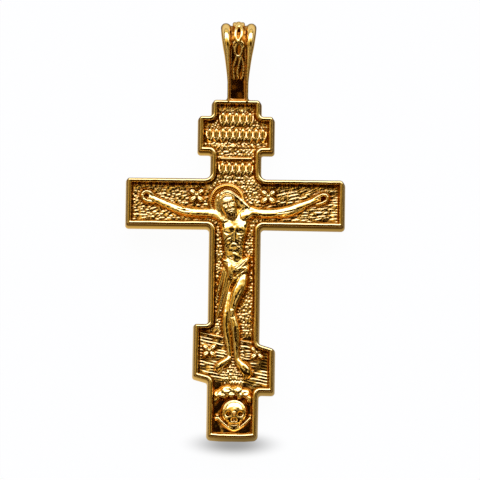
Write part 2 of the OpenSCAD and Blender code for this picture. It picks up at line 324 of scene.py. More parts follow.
def shapeField(land):
    f = field
    x, y = land["x"], land["y"]
    land["z"] = np.full(len(x), cross["field"]) + f["uneven"] * noise(x, y, 0.9, f["seed"])
    speck = f["speckHeight"] * pebbles(x, y, f["speck"], f["speckSize"], f["seed"] + 5)
    grain = f["pebbleHeight"] * pebbles(x, y, f["pebble"], f["pebbleSize"], f["seed"]) + speck
    armY, bendX, rise = f["armLine"]
    above = ramp(y - (armY + np.maximum(np.abs(x) - bendX, 0) * rise), *f["aboveArm"])
    warp = waves(x, y, f["warp"])
    lines = np.zeros(len(x))
    for part, (rise, narrow, seed) in zip((x < 0, (x > 0) * above, (x > 0) * (1 - above)), f["dashRuns"]):
        lines += part * pebbles(x * narrow, y - rise * x + warp, f["dash"], f["dashSize"], seed)
    onBar = ramp(np.abs(x), *f["barX"]) * window(y, *f["barY"])
    onRest = np.maximum(window(y, *f["restY"]) * ramp(np.abs(x), *f["restX"]),
                        window(y, *f["restLeftY"]) * ramp(-x, *f["restLeftX"]))
    low = ramp(-y, *f["caveTop"])
    smooth = np.maximum(onRest, low)
    land["z"] += (grain * (1 - onBar) * (1 - smooth) + (f["dashHeight"] * lines + speck) * onBar
                  + 0.03 * low * noise(x, y, 0.5, 6))


def shapeBoards(land):  # planks that slope down to one side, with the grain as fine ridges
    f = field
    x, y = land["x"], land["y"]
    level = y - f["boardSlope"] * x
    part = (level + 0.06 * noise(x, y, 0.8, 21)) / f["boardPitch"] % 1
    saw = np.minimum(part / 0.72, (1 - part) / 0.28)
    cut = ramp(noise(x * 0.35, y * 2.6, 0.5, 22) + 0.7 * noise(x, y, 1.9, 23), -0.5, 0.2)
    land["z"] += window(level, *f["boards"]) * (f["boardLift"] + f["boardHeight"] * saw * (0.2 + 0.8 * cut))
    for row in f["boardEdges"]:
        trace(land, row, f["boardEdge"])


# Halo with a raised ring, its ground smooth and slightly dished

halo = {
    "at": [-1.04, 29.97], "radius": 2.31, "line": 0.22, "height": 0.38,
    "ground": 0.1, "dish": 0.05, "rays": 46, "rayHeight": 0.05,
}


def shapeHalo(land):
    h = halo
    dx, dy = land["x"] - h["at"][0], land["y"] - h["at"][1]
    away = np.hypot(dx, dy)
    ground = cross["field"] + h["ground"] + h["dish"] * (away / h["radius"]) ** 2
    inside = ramp(-away, -h["radius"] + 0.02, -h["radius"] + 0.14)
    land["z"] = land["z"] * (1 - inside) + ground * inside
    mid = h["radius"] - h["line"]
    q = np.minimum(np.abs(away - mid) / h["line"], 1)
    rays = np.sin(np.arctan2(dy, dx) * h["rays"])
    land["z"] += h["height"] * (1 - q * q) + h["rayHeight"] * inside * ramp(-away, -mid, -mid + 0.3) * rays


# Figure: round forms on the field, then drawn lines

arms = {
    "lift": 0.26,
    "forms": [
        ["arm", [[-1.3, 27.9, 0.06, 0.75], [-2.1, 28.35, 0.06, 0.6], [-2.9, 28.55, 0.04, 0.52],
                 [-4.4, 28.58, 0.02, 0.5], [-5.65, 28.64, 0, 0.5], [-6.65, 28.82, 0, 0.5],
                 [-7.5, 29.08, 0, 0.47], [-8.4, 29.44, 0, 0.44], [-9.4, 29.86, 0, 0.42],
                 [-10.3, 30.26, 0, 0.4], [-10.75, 30.46, 0, 0.36]]],
        ["arm", [[1.2, 28.25, 0.06, 0.75], [2.1, 28.7, 0.08, 0.6], [3.1, 28.6, 0.06, 0.54],
                 [4.35, 28.6, 0.02, 0.52], [5.6, 28.72, 0, 0.5], [6.85, 29.05, 0, 0.48],
                 [8.1, 29.54, 0, 0.42], [9.35, 30.02, 0, 0.36], [10.1, 30.4, 0, 0.32]]],
        ["tendon", [[5.4, 28.2, -0.1, 0.14], [6.84, 28.5, 0.02, 0.2], [8.1, 29.0, -0.04, 0.15],
                    [8.7, 29.3, -0.1, 0.1]]]],
    "lines": [
        [-0.12, [[5.2, 28.5, 0.04], [6.85, 28.76, 0.09], [8.5, 29.36, 0.04]]],
        [-0.1, [[-5.7, 28.62, 0.04], [-6.5, 28.7, 0.09], [-7.3, 28.98, 0.04]]],
        [-0.1, [[2.9, 28.3, 0.06], [3.9, 28.2, 0.12], [5.0, 28.25, 0.06]]]],
    "dabs": [[-6.4, 28.95, 0.5, 0.2, 14, 0.08]],
}

hands = {
    "lift": 0.26, "palm": [0.34, 0.3, 0, -0.3], "crease": -0.1, "creaseReach": 0.3,
    "left": {
        "middle": [-11.02, 30.5],
        "wrist": [[-10.5, 30.35, -0.1, 0.36], [-10.95, 30.55, -0.2, 0.34]],
        "fingers": [[-10.3, 30.6, 0.02, 0.2], [-10.72, 31.0, 0.1, 0.21], [-11.27, 31.06, 0.1, 0.21],
                    [-11.62, 30.7, 0.12, 0.22], [-11.5, 30.18, 0.12, 0.22], [-10.98, 29.88, 0.1, 0.22],
                    [-10.35, 29.82, 0, 0.2], [-9.9, 29.78, -0.06, 0.12]]},
    "right": {
        "middle": [10.9, 30.42],
        "wrist": [[9.9, 30.3, -0.06, 0.34], [10.5, 30.45, -0.2, 0.3]],
        "fingers": [[10.0, 30.52, 0, 0.2], [10.5, 30.8, 0.08, 0.2], [11.07, 31.0, 0.1, 0.21],
                    [11.48, 30.75, 0.12, 0.21], [11.42, 30.26, 0.1, 0.21], [10.86, 29.92, 0.06, 0.18],
                    [10.15, 29.76, -0.04, 0.14]]},
}


def shapeHand(land, hand):  # fingers curled round an open palm
    mx, my = hand["middle"]
    reach = hands["creaseReach"]
    lines = []
    for x, y, z, r in hand["fingers"][1:-1]:
        dx, dy = reach * (x - mx), reach * (y - my)
        lines.append([hands["crease"], [[x - dx, y - dy, 0.04], [x + dx, y + dy, 0.05]]])
    shape(land, {"lift": hands["lift"], "lines": lines, "dabs": [[mx, my] + hands["palm"]],
                 "forms": [["wrist", hand["wrist"]], ["finger", hand["fingers"]]]})


torso = {
    "lift": 0,
    "forms": [
        ["torso", [[-0.05, 28.7, -0.45, 1.5], [-0.03, 28.0, -0.28, 1.85], [-0.05, 27.3, -0.02, 1.8],
                   [-0.06, 26.6, 0.28, 1.68], [-0.1, 26.05, 0.46, 1.54], [-0.12, 25.4, 0.38, 1.42],
                   [-0.13, 24.8, 0.3, 1.32], [-0.1, 23.8, 0.22, 1.18], [-0.09, 22.9, 0.2, 1.12],
                   [0.0, 21.8, 0.22, 1.2]]]],
    "lines": [
        [-0.06, [[-0.1, 27.5, 0.1], [-0.07, 26.9, 0.14], [-0.1, 26.2, 0.08]]],
        [-0.07, [[-1.5, 26.15, 0.08], [-0.9, 25.82, 0.17], [-0.25, 26.0, 0.1]]],
        [-0.07, [[0.1, 26.02, 0.1], [0.8, 25.86, 0.17], [1.4, 26.2, 0.08]]],
        [-0.1, [[-1.0, 23.75, 0.08], [-0.6, 24.4, 0.15], [-0.12, 24.75, 0.1], [0.42, 24.4, 0.15],
                [0.8, 23.75, 0.08]]],
        [-0.08, [[-0.12, 26.2, 0.06], [-0.14, 25.0, 0.1], [-0.2, 23.5, 0.06]]],
        [-0.1, [[-1.15, 23.2, 0.06], [-0.7, 22.7, 0.12], [-0.25, 22.5, 0.08]]]],
    "dabs": [[-0.85, 26.45, 0.95, 0.75, 8, 0.08], [0.75, 26.5, 0.9, 0.75, -8, 0.08],
             [-0.42, 23.9, 0.4, 0.45, 0, 0.07], [0.18, 23.95, 0.4, 0.45, 0, 0.07],
             [-0.16, 23.2, 0.8, 0.6, 0, 0.1], [-0.34, 22.95, 0.2, 0.16, 0, -0.22]],
    "ribs": 4, "ribTop": 25.5, "ribPitch": 0.42, "rib": 0.07, "middle": -0.12,
    "skin": 0.05, "skinWaves": [[1, 0.26, 41], [1, 0.5, 42]],
    "skinX": [0, 0.3], "skinY": [22.6, 23.2, 25.8, 26.4],
}


def shapeTorso(land):
    shape(land, torso)
    mid, rib = torso["middle"], torso["rib"]
    for k in range(torso["ribs"]):
        y = torso["ribTop"] - torso["ribPitch"] * k + 0.07 * (k % 2)
        w = 1.22 - 0.07 * k
        for side in (-1, 1):
            end = -0.5 - 0.06 * k + 0.1 * side
            y -= 0.09 * (side > 0)
            trace(land, [[side * 0.42 + mid, y + 0.04, 0.06], [side * 0.66 * w + mid, y - 0.12, 0.16],
                         [side * w + mid, y + end, 0.09]], rib * (0.6 + 0.4 * (k % 2)))
            trace(land, [[side * 0.55 + mid, y - 0.2, 0.05], [side * 0.75 * w + mid, y - 0.34, 0.11],
                         [side * w + mid, y + end - 0.22, 0.06]], -rib)
    x, y = land["x"], land["y"]
    skin = torso["skin"] * ramp(1.5 - np.abs(x + 0.1), *torso["skinX"]) * window(y, *torso["skinY"])
    land["z"] += skin * waves(x, y, torso["skinWaves"])


loincloth = {
    "lift": 0,
    "forms": [
        ["hip", [[-1.05, 22.15, 0.12, 0.4], [-0.45, 21.75, 0.24, 0.66], [0.45, 21.4, 0.26, 0.82],
                 [1.15, 21.35, 0.2, 0.74]]],
        ["plain", [[-1.3, 22.5, 0.34, 0.18], [-0.75, 22.3, 0.46, 0.26], [-0.1, 22.0, 0.5, 0.3],
                   [0.4, 21.75, 0.46, 0.26]],
                  [[0.0, 21.35, 0.4, 0.26], [0.55, 21.72, 0.52, 0.42], [1.1, 22.15, 0.52, 0.46],
                   [1.5, 22.6, 0.42, 0.36], [1.72, 22.95, 0.3, 0.2]],
                  [[1.35, 22.3, 0.4, 0.2], [1.6, 21.9, 0.36, 0.24], [1.62, 21.4, 0.28, 0.2],
                   [1.5, 21.0, 0.2, 0.1]],
                  [[-0.72, 22.2, 0.5, 0.22], [-0.6, 21.5, 0.62, 0.34], [-0.46, 20.7, 0.62, 0.36],
                   [-0.36, 20.15, 0.5, 0.28], [-0.28, 19.65, 0.32, 0.1]]],
        ["soft", [[1.2, 20.95, 0.34, 0.34], [0.65, 20.6, 0.42, 0.36], [0.1, 20.2, 0.36, 0.24],
                  [-0.1, 19.9, 0.3, 0.14]]],
        ["plain", [[-1.1, 21.9, 0.1, 0.26], [-1.35, 20.9, 0.14, 0.3], [-1.75, 19.6, 0.12, 0.24],
                   [-2.1, 18.3, 0.06, 0.12], [-2.15, 17.8, 0.0, 0.06]],
                  [[-0.85, 21.3, 0.22, 0.26], [-1.0, 20.2, 0.24, 0.32], [-1.3, 18.8, 0.2, 0.28],
                   [-1.65, 17.4, 0.12, 0.22], [-2.0, 15.9, 0.06, 0.17], [-2.25, 15.0, 0.02, 0.12],
                   [-2.1, 14.75, 0.0, 0.07]],
                  [[-0.5, 20.3, 0.28, 0.2], [-0.7, 19.3, 0.24, 0.22], [-1.0, 18.2, 0.16, 0.18],
                   [-1.35, 17.0, 0.1, 0.12], [-1.5, 16.2, 0.04, 0.06]]]],
    "lines": [
        [-0.117, [[-0.65, 22.1, 0.06], [-0.55, 21.2, 0.1], [-0.4, 20.2, 0.06]],
                 [[-0.42, 21.9, 0.05], [-0.34, 21.1, 0.08], [-0.28, 20.4, 0.05]],
                 [[-1.2, 21.7, 0.06], [-1.5, 20.4, 0.1], [-1.95, 18.7, 0.06]],
                 [[-0.88, 21.0, 0.06], [-1.12, 19.5, 0.1], [-1.6, 17.4, 0.06], [-2.0, 15.7, 0.05]],
                 [[-0.95, 22.5, 0.06], [-0.4, 22.22, 0.09], [0.15, 21.95, 0.05]],
                 [[0.25, 21.4, 0.06], [0.85, 21.85, 0.1], [1.45, 22.5, 0.06]],
                 [[0.1, 21.62, 0.05], [0.6, 22.0, 0.08], [1.15, 22.5, 0.05]],
                 [[0.2, 21.05, 0.06], [0.8, 21.05, 0.11], [1.45, 21.5, 0.06]],
                 [[0.0, 20.7, 0.06], [0.6, 20.85, 0.1], [1.3, 21.25, 0.06]],
                 [[0.15, 20.35, 0.05], [0.6, 20.4, 0.08], [1.2, 20.75, 0.05]]]],
    "dabs": [],
}

legs = {
    "lift": 0,
    "forms": [
        ["leg", [[-0.5, 18.3, 0.0, 0.45], [-0.75, 17.0, 0.1, 0.48], [-0.9, 15.9, 0.2, 0.5],
                 [-1.0, 14.9, 0.24, 0.5], [-0.92, 13.8, 0.24, 0.5], [-0.76, 12.8, 0.22, 0.46],
                 [-0.56, 11.6, 0.2, 0.36], [-0.46, 10.8, 0.18, 0.31], [-0.52, 10.1, 0.2, 0.33]]],
        ["leg", [[1.1, 20.9, 0.1, 0.6], [1.0, 20.1, 0.2, 0.72], [0.72, 19.1, 0.28, 0.84],
                 [0.3, 18.2, 0.32, 0.76], [0.0, 17.3, 0.34, 0.62], [-0.2, 16.4, 0.36, 0.54],
                 [-0.24, 15.7, 0.38, 0.5], [-0.02, 14.9, 0.34, 0.54], [0.16, 14.1, 0.3, 0.6],
                 [0.28, 13.0, 0.26, 0.57], [0.36, 11.8, 0.22, 0.48], [0.4, 10.8, 0.2, 0.37],
                 [0.48, 10.2, 0.22, 0.34], [0.62, 9.8, 0.22, 0.36]]]],
    "lines": [
        [-0.07, [[-0.62, 15.5, 0.05], [-0.26, 15.32, 0.09], [0.1, 15.45, 0.05]]],
        [0.06, [[0.1, 14.9, 0.06], [0.02, 13.4, 0.13], [0.28, 11.2, 0.05]]],
        [-0.06, [[0.45, 14.5, 0.05], [0.56, 13.2, 0.1], [0.5, 11.9, 0.04]]],
        [-0.14, [[-0.42, 14.6, 0.05], [-0.34, 13.2, 0.1], [-0.1, 11.6, 0.05], [-0.05, 10.6, 0.04]]]],
    "dabs": [[-0.22, 16.05, 0.4, 0.42, 0, 0.1]],
}

feet = {
    "left": [[-0.5, 10.3, 0.2, 0.33], [-0.75, 9.95, 0.26, 0.4], [-1.25, 9.6, 0.26, 0.46],
             [-1.75, 9.25, 0.2, 0.46], [-2.05, 8.95, 0.1, 0.36]],
    "leftToes": 4, "leftToe": [[-1.7, 9.3, 0.22, 0.12], [-2.25, 8.85, 0.14, 0.11]],
    "leftToeStep": [[0.13, -0.15, 0, 0], [0.2, -0.14, 0, 0]],
    "right": [[0.5, 10.1, 0.24, 0.36], [0.85, 9.6, 0.28, 0.46], [1.3, 9.15, 0.28, 0.6],
              [1.62, 8.75, 0.16, 0.7], [1.8, 8.4, 0.02, 0.62]],
    "rightToes": 5, "rightAt": [1.3, 8.95], "rightToe": [[0.6, 0.26, 0.16], [1.22, 0.14, 0.13]],
    "toeTurn": -15, "toeStep": -17,
    "ground": 0.14, "groundPitch": 0.3, "stroke": 0.16, "strokePitch": [0.36, 0.5],
}


def wave(v, pitch):  # 0 to 1 and back over each pitch
    return 0.5 + 0.5 * np.sin(2 * math.pi * v / pitch)


def shapeFeet(land):
    f = feet
    limb(land, f["left"], "soft")
    for k in range(f["leftToes"]):
        limb(land, np.array(f["leftToe"]) + k * np.array(f["leftToeStep"]), "crisp")
    limb(land, f["right"], "instep")
    mx, my = f["rightAt"]
    for k in range(f["rightToes"]):
        c, s = heading(f["toeTurn"] + f["toeStep"] * k)
        limb(land, [[mx + reach * c, my + reach * s, z, r] for reach, z, r in f["rightToe"]], "crisp")
    x, y = land["x"], land["y"]
    inside = ramp(y, 7.9, 8.05) * ramp(9.9 - y - 1.5 * np.abs(x), -0.05, 0.15)
    under = ramp(1.3 - np.abs(x + 0.1), 0, 0.15) * window(y, 6.9, 7.0, 7.8, 7.95)
    pitch, (pitchX, pitchY) = f["groundPitch"], f["strokePitch"]
    land["z"] += f["ground"] * inside * wave(y, pitch) * wave(x + 0.5 * y, pitch)
    land["z"] += f["stroke"] * under * wave(x, pitchX) ** 2 * wave(y, pitchY)


# Head on its own measures: half height 1, eye line halfway, nose and mouth at the usual thirds

head = {
    "at": [-0.84, 29.52], "turn": 18.4, "half": 1.84, "face": 0.54, "tall": 0.97,
    "lift": 0.86, "height": 0.62, "soft": 0.04, "lean": 0.12, "strand": -0.1, "band": 0.12,
    "neck": [[[0.2, -0.8, 0.2, 0.5], [0.3, -1.1, 0.15, 0.55]],
             [[0.5, 0.3, 0.2, 0.4], [0.8, -0.2, 0.2, 0.45], [1.1, -0.75, 0.2, 0.4]]],
    "hair": [[[-0.1, 0.86, 0.4, 0.36], [-0.45, 0.74, 0.42, 0.38], [-0.68, 0.45, 0.4, 0.36],
              [-0.76, 0.05, 0.34, 0.34], [-0.76, -0.35, 0.26, 0.32], [-0.7, -0.72, 0.18, 0.26]],
             [[0.02, 0.86, 0.72, 0.36], [-0.24, 0.74, 0.74, 0.36], [-0.44, 0.45, 0.7, 0.34],
              [-0.53, 0.05, 0.62, 0.32], [-0.56, -0.35, 0.52, 0.3], [-0.54, -0.72, 0.4, 0.26],
              [-0.5, -0.95, 0.28, 0.16]],
             [[0.02, 0.86, 0.72, 0.36], [0.3, 0.74, 0.72, 0.32], [0.54, 0.5, 0.66, 0.28],
              [0.76, 0.2, 0.58, 0.26], [0.98, -0.2, 0.5, 0.26], [1.2, -0.55, 0.4, 0.24],
              [1.4, -0.84, 0.28, 0.16]]],
    "sideLock": [[0.46, 0.3, 0.62, 0.16], [0.5, 0.0, 0.56, 0.17], [0.5, -0.35, 0.48, 0.15],
                 [0.54, -0.65, 0.36, 0.1]],
    "hairline": [[-0.44, 0.4, 0.08], [-0.2, 0.56, 0.12], [0.05, 0.58, 0.12], [0.4, 0.42, 0.08]],
}

face = {  # calm, with lowered lids
    "lines": [  # brow, nose, upper lip, mouth
        [0.1, [[-0.4, 0.13, 0.1], [-0.2, 0.2, 0.13], [0.0, 0.14, 0.1], [0.2, 0.2, 0.13], [0.4, 0.13, 0.1]]],
        [0.3, [[0.0, 0.14, 0.12], [0.0, -0.1, 0.15], [0.0, -0.26, 0.2], [0.0, -0.34, 0.14]]],
        [0.1, [[-0.26, -0.52, 0.06], [0.0, -0.43, 0.1], [0.26, -0.52, 0.06]]],
        [-0.12, [[-0.14, -0.53, 0.04], [0.0, -0.51, 0.06], [0.14, -0.53, 0.04]]]],
    "lash": [-0.1, [[0.11, -0.03, 0.04], [0.21, -0.06, 0.05], [0.32, -0.02, 0.04]]],
    "dabs": [  # below the nose, lower lip, then eye sockets, lids and cheeks
        [0.0, -0.4, 0.18, 0.05, -0.12], [0.0, -0.58, 0.12, 0.04, 0.08],
        [0.21, 0.02, 0.19, 0.13, -0.3], [0.21, 0.0, 0.115, 0.07, 0.2], [0.27, -0.22, 0.17, 0.14, 0.1],
        [-0.21, 0.02, 0.19, 0.13, -0.3], [-0.21, 0.0, 0.115, 0.07, 0.2], [-0.27, -0.22, 0.17, 0.14, 0.1]],
    "beard": [[0.4, -0.36, 0.84, 0.14], [0.32, -0.66, 0.9, 0.22], [0.13, -0.92, 0.9, 0.24],
              [0.06, -1.1, 0.8, 0.12]],
    "beardLines": 5, "beardLine": -0.1,
}


def headPlace(a, b):  # from the head's right and up to the cross
    c, s = heading(head["turn"])
    a, b = a * head["half"], b * head["half"]
    x, y = head["at"]
    return [x + a * c - b * s, y + a * s + b * c]


def headRows(rows, side=1):  # each row's first two numbers go to the cross, the others stay
    return [headPlace(side * row[0], row[1]) + row[2:] for row in rows]


def shapeHead(land):
    h, u = head, head["half"]
    for rows in h["neck"]:
        limb(land, headRows(rows), "neck")
    dome(land, *headPlace(0, 0), h["face"] * u, h["tall"] * u, h["turn"],
         h["lift"], h["height"], h["soft"], h["lean"])
    for rows in h["hair"]:
        limb(land, headRows(rows))
    for rows in h["hair"]:
        for off in (-0.08, 0.07):
            line = [[a + off * (0.3 if b > 0.7 else 0.9), b + off * 0.9 * (b > 0.7), 0.12]
                    for a, b, z, r in rows]
            trace(land, headRows(line), h["strand"])
    limb(land, headRows(h["sideLock"]))
    trace(land, headRows(h["hairline"]), h["band"])


def shapeFace(land):
    for amount, rows in face["lines"]:
        trace(land, headRows(rows), amount)
    for a, b, ra, rb, amount in face["dabs"]:
        dab(land, *headPlace(a, b), ra * head["half"], rb * head["half"], head["turn"], amount)
    for side in (-1, 1):
        trace(land, headRows(face["lash"][1], side), face["lash"][0])
        limb(land, headRows(face["beard"], side), "soft")
    for a in spaced(face["beardLines"], 0.12):
        line = [[a * 1.3, -0.64, 0.05], [a * 1.1, -0.8, 0.08], [a * 0.5, -1.0, 0.05]]
        trace(land, headRows(line), face["beardLine"])


# Cave with rocks over it, skull and crossed bones

cave = {
    "ridge": [[-2.3, 4.5, -0.1, 0.26], [-2.1, 5.2, 0.1, 0.42], [-1.6, 5.8, 0.16, 0.54],
              [-0.7, 6.15, 0.2, 0.6], [0.3, 6.15, 0.2, 0.58], [1.2, 5.95, 0.16, 0.54],
              [1.9, 5.5, 0.1, 0.42], [2.3, 4.8, -0.05, 0.28]],
    "stones": [  # x, y, half sizes, height
        [-1.8, 5.75, 0.56, 0.46, 0.3], [-0.75, 6.3, 0.76, 0.56, 0.4], [0.5, 6.3, 0.7, 0.52, 0.36],
        [1.55, 5.95, 0.56, 0.5, 0.32], [2.1, 5.2, 0.34, 0.46, 0.24], [-0.15, 5.75, 0.5, 0.36, 0.34],
        [0.95, 5.6, 0.44, 0.36, 0.3], [-1.1, 5.6, 0.4, 0.36, 0.3]],
    "stoneTurn": 15, "stoneBase": 0.5, "stoneSoft": 0.14, "stoneLean": 0.3,
    "rough": [[0.09, 0.42, 71], [0.05, 0.2, 72]], "roughY": [5.0, 5.3, 6.9, 7.1], "roughFrom": [0.35, 0.6],
}

skull = {
    "at": [0.22, 3.55], "radius": 1.6, "tall": 0.95,
    "ridge": 0.12, "ridgeIn": 0.12, "ridgeHalf": 0.15, "ridgeY": [-0.9, -0.2],
    "nose": [[0, -0.3, 0.24, 0.34, 0, 0.26]], "cheekDepth": -0.14, "mouthDepth": -0.2,
    "teeth": 6, "toothPitch": 0.2, "tooth": [[-1.42, 0.06], [-1.95, 0.05]], "toothDepth": -0.07,
    "jaw": [[0, -0.6, -0.1, 1.2], [0, -1.2, -0.3, 1.02], [0, -1.9, -0.4, 0.78]],
    "bone": [[0.2, -2.2, 0.0, 0.18], [1.1, -1.65, 0.08, 0.2], [2.0, -0.8, 0.08, 0.2]],
    "boneEnds": [[2.1, -0.5, 0.24, 0.22], [2.28, -0.85, 0.22, 0.2]],
    "dabs": [  # eye sockets, cheekbones, nose holes: x, y, half sizes, turn, height
        [0.76, -0.25, 0.5, 0.46, 10, -0.5], [1.05, -0.95, 0.4, 0.3, 30, 0.16],
        [0.18, -0.98, 0.26, 0.36, 25, -0.4]],
    "cheek": [[0.75, -1.2, 0.06], [0.8, -1.6, 0.14], [0.55, -2.1, 0.06]],
    "mouth": [[-0.65, -1.5, 0.06], [0, -1.6, 0.16], [0.65, -1.5, 0.06]],
}


def shapeCave(land):
    c = cave
    x, y = land["x"], land["y"]
    limb(land, c["ridge"], "rocks")
    for mx, my, rx, ry, tall in c["stones"]:
        dome(land, mx, my, rx, ry, c["stoneTurn"], c["stoneBase"], tall, c["stoneSoft"], c["stoneLean"])
    rough = window(y, *c["roughY"]) * ramp(land["z"] - cross["field"], *c["roughFrom"])
    land["z"] += rough * waves(x, y, c["rough"])


def shapeSkull(land):
    s = skull
    mx, my = s["at"]
    put = lambda rows, side=1: [[mx + side * row[0], my + row[1]] + row[2:] for row in rows]
    for side in (-1, 1):
        limb(land, put(s["bone"], side))
        for row in put(s["boneEnds"], side):
            dome(land, *row, 0, 0.06, 0.26)
    dome(land, mx, my, s["radius"], s["radius"] * 1.02, 0, -0.1, s["tall"] + 0.1)
    limb(land, put(s["jaw"]), "jaw")
    away = np.hypot(land["x"] - mx, land["y"] - my)
    q = np.minimum(np.abs(away - s["radius"] + s["ridgeIn"]) / s["ridgeHalf"], 1)
    land["z"] += s["ridge"] * (1 - q * q) * ramp(land["y"] - my, *s["ridgeY"])
    for side in (-1, 1):
        for x, y, rx, ry, turn, amount in put(s["dabs"], side):
            dab(land, x, y, rx, ry, side * turn, amount)
        trace(land, put(s["cheek"], side), s["cheekDepth"])
    for row in put(s["nose"]):
        dab(land, *row)
    trace(land, put(s["mouth"]), s["mouthDepth"])
    for x in spaced(s["teeth"], s["toothPitch"]):
        trace(land, put([[x] + row for row in s["tooth"]]), s["toothDepth"])


# Leaves and florets in the place of the lettering

ornament = {
    "leafRows": [  # count, pitch, y, length
        [5, 0.84, 40.45, 1.9], [9, 0.83, 38.45, 1.75], [5, 0.84, 34.15, 1.7]],
    "florets": [[-4.85, 30.7, 1.02], [4.1, 30.65, 1.02], [-3.0, 11.2, 0.92], [3.0, 11.0, 0.92]],
    "stem": [
        [0.06, -1, 0.14, 0.08], [0.3, -0.6, 0.24, 0.1], [0.41, -0.1, 0.18, 0.1], [0.38, 0.4, 0.06, 0.07]],
    "dots": [8, 0.62, 36.85, 0.2], "vein": -0.12,
    "roll": [[-1.75, 35.35, 0.1, 0.2], [1.85, 35.35, 0.1, 0.2]],
}


def shapeLeaf(land, x, y, h):  # h: half its length
    limb(land, [[x, y - h, 0.12, 0.08], [x, y - 0.4 * h, 0.26, 0.18], [x, y + 0.3 * h, 0.22, 0.24],
                [x, y + 0.75 * h, 0.08, 0.2]], "leaf")
    trace(land, [[x, y - 0.8 * h, 0.05], [x, y, 0.1], [x, y + 0.5 * h, 0.05]], ornament["vein"])
    for side in (-1, 1):
        limb(land, [[x + side * a, y + b * h, z, r] for a, b, z, r in ornament["stem"]], "stem")


def shapeFloret(land, x, y, size):
    for turn in (45, 135, 225, 315):
        c, s = heading(turn, size)
        limb(land, [[x + 0.2 * c, y + 0.2 * s, 0.14, 0.1], [x + 0.66 * c, y + 0.62 * s, 0.24, 0.35 * size],
                    [x + 1.1 * c, y + s, 0.14, 0.14]], "petal")
        trace(land, [[x + 0.25 * c, y + 0.25 * s, 0.05], [x + 0.8 * c, y + 0.8 * s, 0.07]], ornament["vein"])
    dome(land, x, y, 0.27 * size, 0.27 * size, 0, 0.2, 0.3, 0.02)


def shapeOrnament(land):
    for count, pitch, y, long in ornament["leafRows"]:
        for x in spaced(count, pitch):
            shapeLeaf(land, x, y, long / 2)
    limb(land, ornament["roll"], "roll")
    count, pitch, y, size = ornament["dots"]
    for x in spaced(count, pitch):
        dome(land, x, y, size, size, 0, 0.06, 0.22, 0.02)
    for floret in ornament["florets"]:
        shapeFloret(land, *floret)


def shapeLand(land):
    shapeField(land)
    shapeBoards(land)
    shapeOrnament(land)
    shapeHalo(land)
    shapeCave(land)
    shapeSkull(land)
    shape(land, arms)
    shapeHand(land, hands["left"])
    shapeHand(land, hands["right"])
    shape(land, legs)
    shapeFeet(land)
    shapeTorso(land)
    shape(land, loincloth)
    shapeHead(land)
    shapeFace(land)
    x, y = land["x"], land["y"]
    raised = ramp(land["z"] - cross["field"], *cross["handworkFrom"])
    land["z"] += raised * waves(x, y, cross["handwork"])


# Casting: loops of points up the wall and over the rim, a grid over the field, triangles between the two

def rimRings():
    profile = cross["profile"]
    rings = []
    for k, (inset, z) in enumerate(profile):
        loop = ring(inset)
        x, y = loop.T
        drift = waves(x, y, cross["waves"])
        share = ramp(inset, 0.1, 0.4) * (k < len(profile) - 2)
        loop = loop + (ring(inset + cross["wave"]) - loop) * (drift * share)[:, None]
        dip = cross["dip"] * (noise(x, y, cross["dipSize"], 33) - 1) * ramp(z, 1.6, 2.6)
        rings.append(np.column_stack([loop, z + dip]))
    return rings


def fieldGrid(fence):  # grid points in the field, and which cells are whole
    step = cross["gridStep"]
    (left, right), (low, high) = cross["gridX"], cross["gridY"]
    gx, gy = np.meshgrid(np.arange(left, right + step, step), np.arange(low, high, step), indexing="ij")
    flat = gx.ravel(), gy.ravel()
    good = (insideRing(*flat, fence) & (ringDistance(*flat, fence) > cross["gridGap"])).reshape(gx.shape)
    corners = [(slice(a, a - 1 or None), slice(b, b - 1 or None)) for a in (0, 1) for b in (0, 1)]
    cell = np.logical_and.reduce([good[c] for c in corners])
    used = np.zeros(gx.shape, bool)
    for c in corners:
        used[c] |= cell
    return gx, gy, used, cell


def seam(points, quads, outer, fence, cell):  # triangles from the grid's ragged edge to the outer loop
    edges = {}
    for q in quads:
        for a, b in zip(q, q[1:] + q[:1]):
            if edges.pop((b, a), None) is None:
                edges[(a, b)] = True
    edge = sorted({v for e in edges for v in e})
    place = {v: k for k, v in enumerate(edge)}
    ends = edge + outer
    flat = [Vector(points[v, :2]) for v in ends]
    fixed = [(place[a], place[b]) for a, b in edges]
    fixed += [(len(edge) + k, len(edge) + (k + 1) % len(outer)) for k in range(len(outer))]
    made = delaunay_2d_cdt(flat, fixed, [], 0, 1e-7, True)
    where, asked = np.array([list(v) for v in made[0]]), np.array([list(v) for v in flat])
    back = [ends[o[0] if o else int(np.argmin(((asked - w) ** 2).sum(1)))] for o, w in zip(made[3], where)]
    tris = np.array([list(f) for f in made[2]])
    centre = where[tris].mean(1)
    start = np.array([cross["gridX"][0], cross["gridY"][0]])
    ci, cj = np.clip(((centre - start) / cross["gridStep"]).astype(int), 0, np.array(cell.shape) - 1).T
    keep = insideRing(*centre.T, fence) & ~cell[ci, cj]
    return [[back[k] for k in t] for t in tris[keep]]


